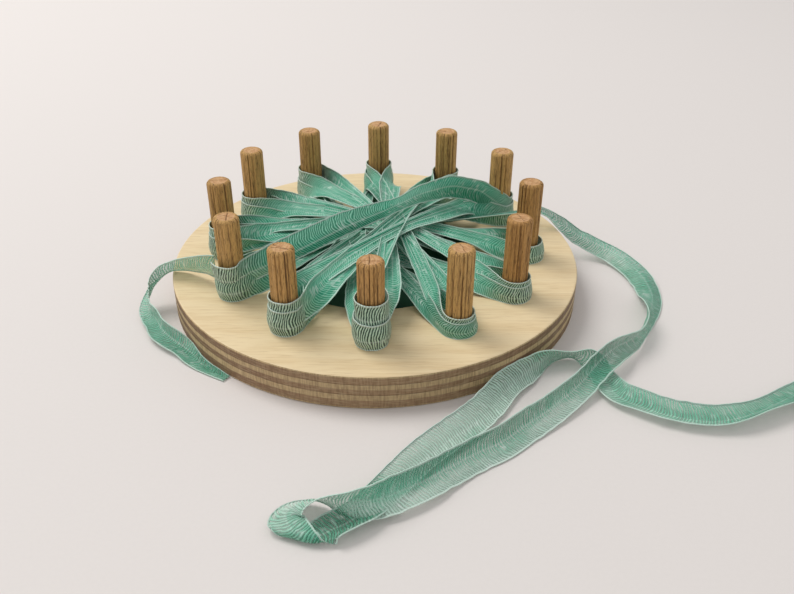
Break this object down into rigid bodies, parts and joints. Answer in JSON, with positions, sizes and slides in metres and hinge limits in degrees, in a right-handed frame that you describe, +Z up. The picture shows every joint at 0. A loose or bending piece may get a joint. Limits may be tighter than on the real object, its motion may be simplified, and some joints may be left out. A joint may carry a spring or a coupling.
{
  "type": "flower loom",
  "caption": "Round plywood loom board with a central hole and a ring of fluted dowel pegs, wound star-wise with ribbon yarn that trails off both sides.",
  "frame": {"origin": "centre of the board's underside, on the axis of its central hole", "axes": "+Z up out of the board's face, along the pegs; +Y away from the viewer, so peg_01 stands at -Y; +X to the right"},
  "size_m": [0.3197, 0.2076, 0.0398],
  "materials": {
    "plywood": "pale birch plywood, sanded and unvarnished, with brown ply edges",
    "dowel": "raw reddish brown fluted dowel",
    "ribbon": "thin satin ladder ribbon, hand-dyed sea green"
  },
  "bodies": {
    "root": {"base_ring": "plywood", "peg_01": "dowel", "peg_02": "dowel", "peg_03": "dowel", "peg_04": "dowel", "peg_05": "dowel", "peg_06": "dowel", "peg_07": "dowel", "peg_08": "dowel", "peg_09": "dowel", "peg_10": "dowel", "peg_11": "dowel", "peg_12": "dowel", "ribbon_winding": "ribbon", "ribbon_left_tail": "ribbon", "ribbon_right_tail": "ribbon", "ribbon_coil": "ribbon"}
  },
  "joints": []
}
